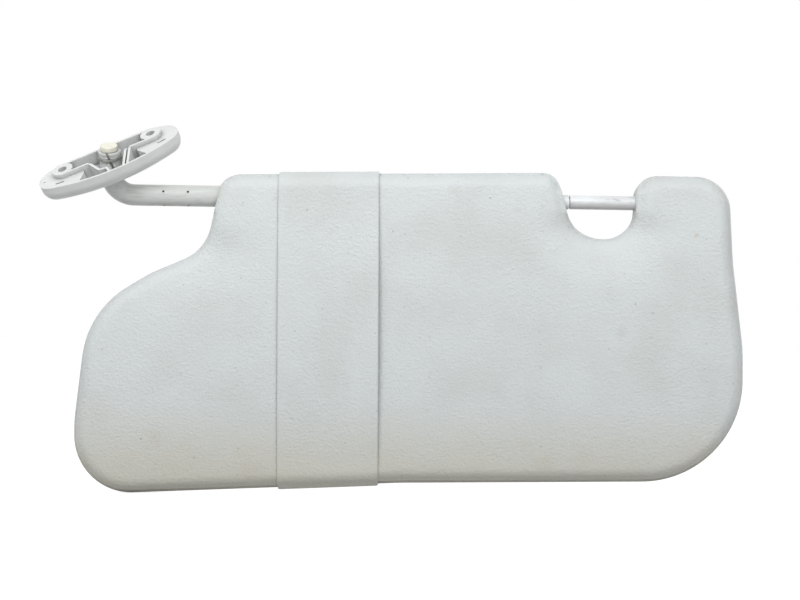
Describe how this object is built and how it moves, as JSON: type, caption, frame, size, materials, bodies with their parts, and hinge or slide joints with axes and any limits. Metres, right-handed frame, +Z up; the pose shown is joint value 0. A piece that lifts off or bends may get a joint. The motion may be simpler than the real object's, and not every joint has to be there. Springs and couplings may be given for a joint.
{
  "type": "car sun visor",
  "caption": "Padded car sun visor with a ticket strap, a clip-pin notch and an L-shaped pivot arm that swivels in a roof bracket.",
  "frame": {"origin": "midway between the two roof screws, on the bracket's seat", "axes": "+X along the pivot arm from the bracket to the clip pin, +Z up with the panel hanging down, -Y out of the face that the picture shows"},
  "size_m": [0.4384, 0.0391, 0.2302],
  "materials": {
    "skin_vinyl": "grained, semi-matt",
    "strap_vinyl": "grained, semi-matt",
    "pad_foam": "open-cell foam",
    "bracket_plastic": "moulded, satin",
    "sleeve_plastic": "moulded, satin, worn",
    "pin_plastic": "moulded, satin, soiled",
    "cap_nylon": "moulded nylon",
    "inner_plastic": "moulded, plain",
    "rod_steel": "drawn wire",
    "spring_steel": "spring steel"
  },
  "bodies": {
    "bracket": {"roof_bracket": "bracket_plastic", "boss_ring": "spring_steel"},
    "arm": {"arm_rod": "rod_steel", "arm_sleeve": "sleeve_plastic", "rod_retainer": "spring_steel", "swivel_bush": "cap_nylon", "thrust_washer": "rod_steel", "swivel_cap": "cap_nylon"},
    "panel": {"front_skin": "skin_vinyl", "back_skin": "skin_vinyl", "front_pad": "pad_foam", "back_pad": "pad_foam", "wire_frame": "rod_steel", "hinge_carrier": "inner_plastic", "detent_spring": "spring_steel", "spring_rivet_1": "rod_steel", "spring_rivet_2": "rod_steel", "clip_pin": "pin_plastic", "pin_block_left": "pin_plastic", "pin_block_right": "inner_plastic", "ticket_strap": "strap_vinyl"}
  },
  "joints": [
    {"name": "arm_swivel", "type": "hinge", "parent": "bracket", "child": "arm", "pos_m": [0.0018, 0.01317, -0.02584], "axis": [0, -0.454, 0.891], "range_deg": [0, 95]},
    {"name": "panel_flip", "type": "hinge", "parent": "arm", "child": "panel", "pos_m": [0.0018, 0.01317, -0.02584], "axis": [1, 0, 0], "range_deg": [-40, 120]}
  ]
}
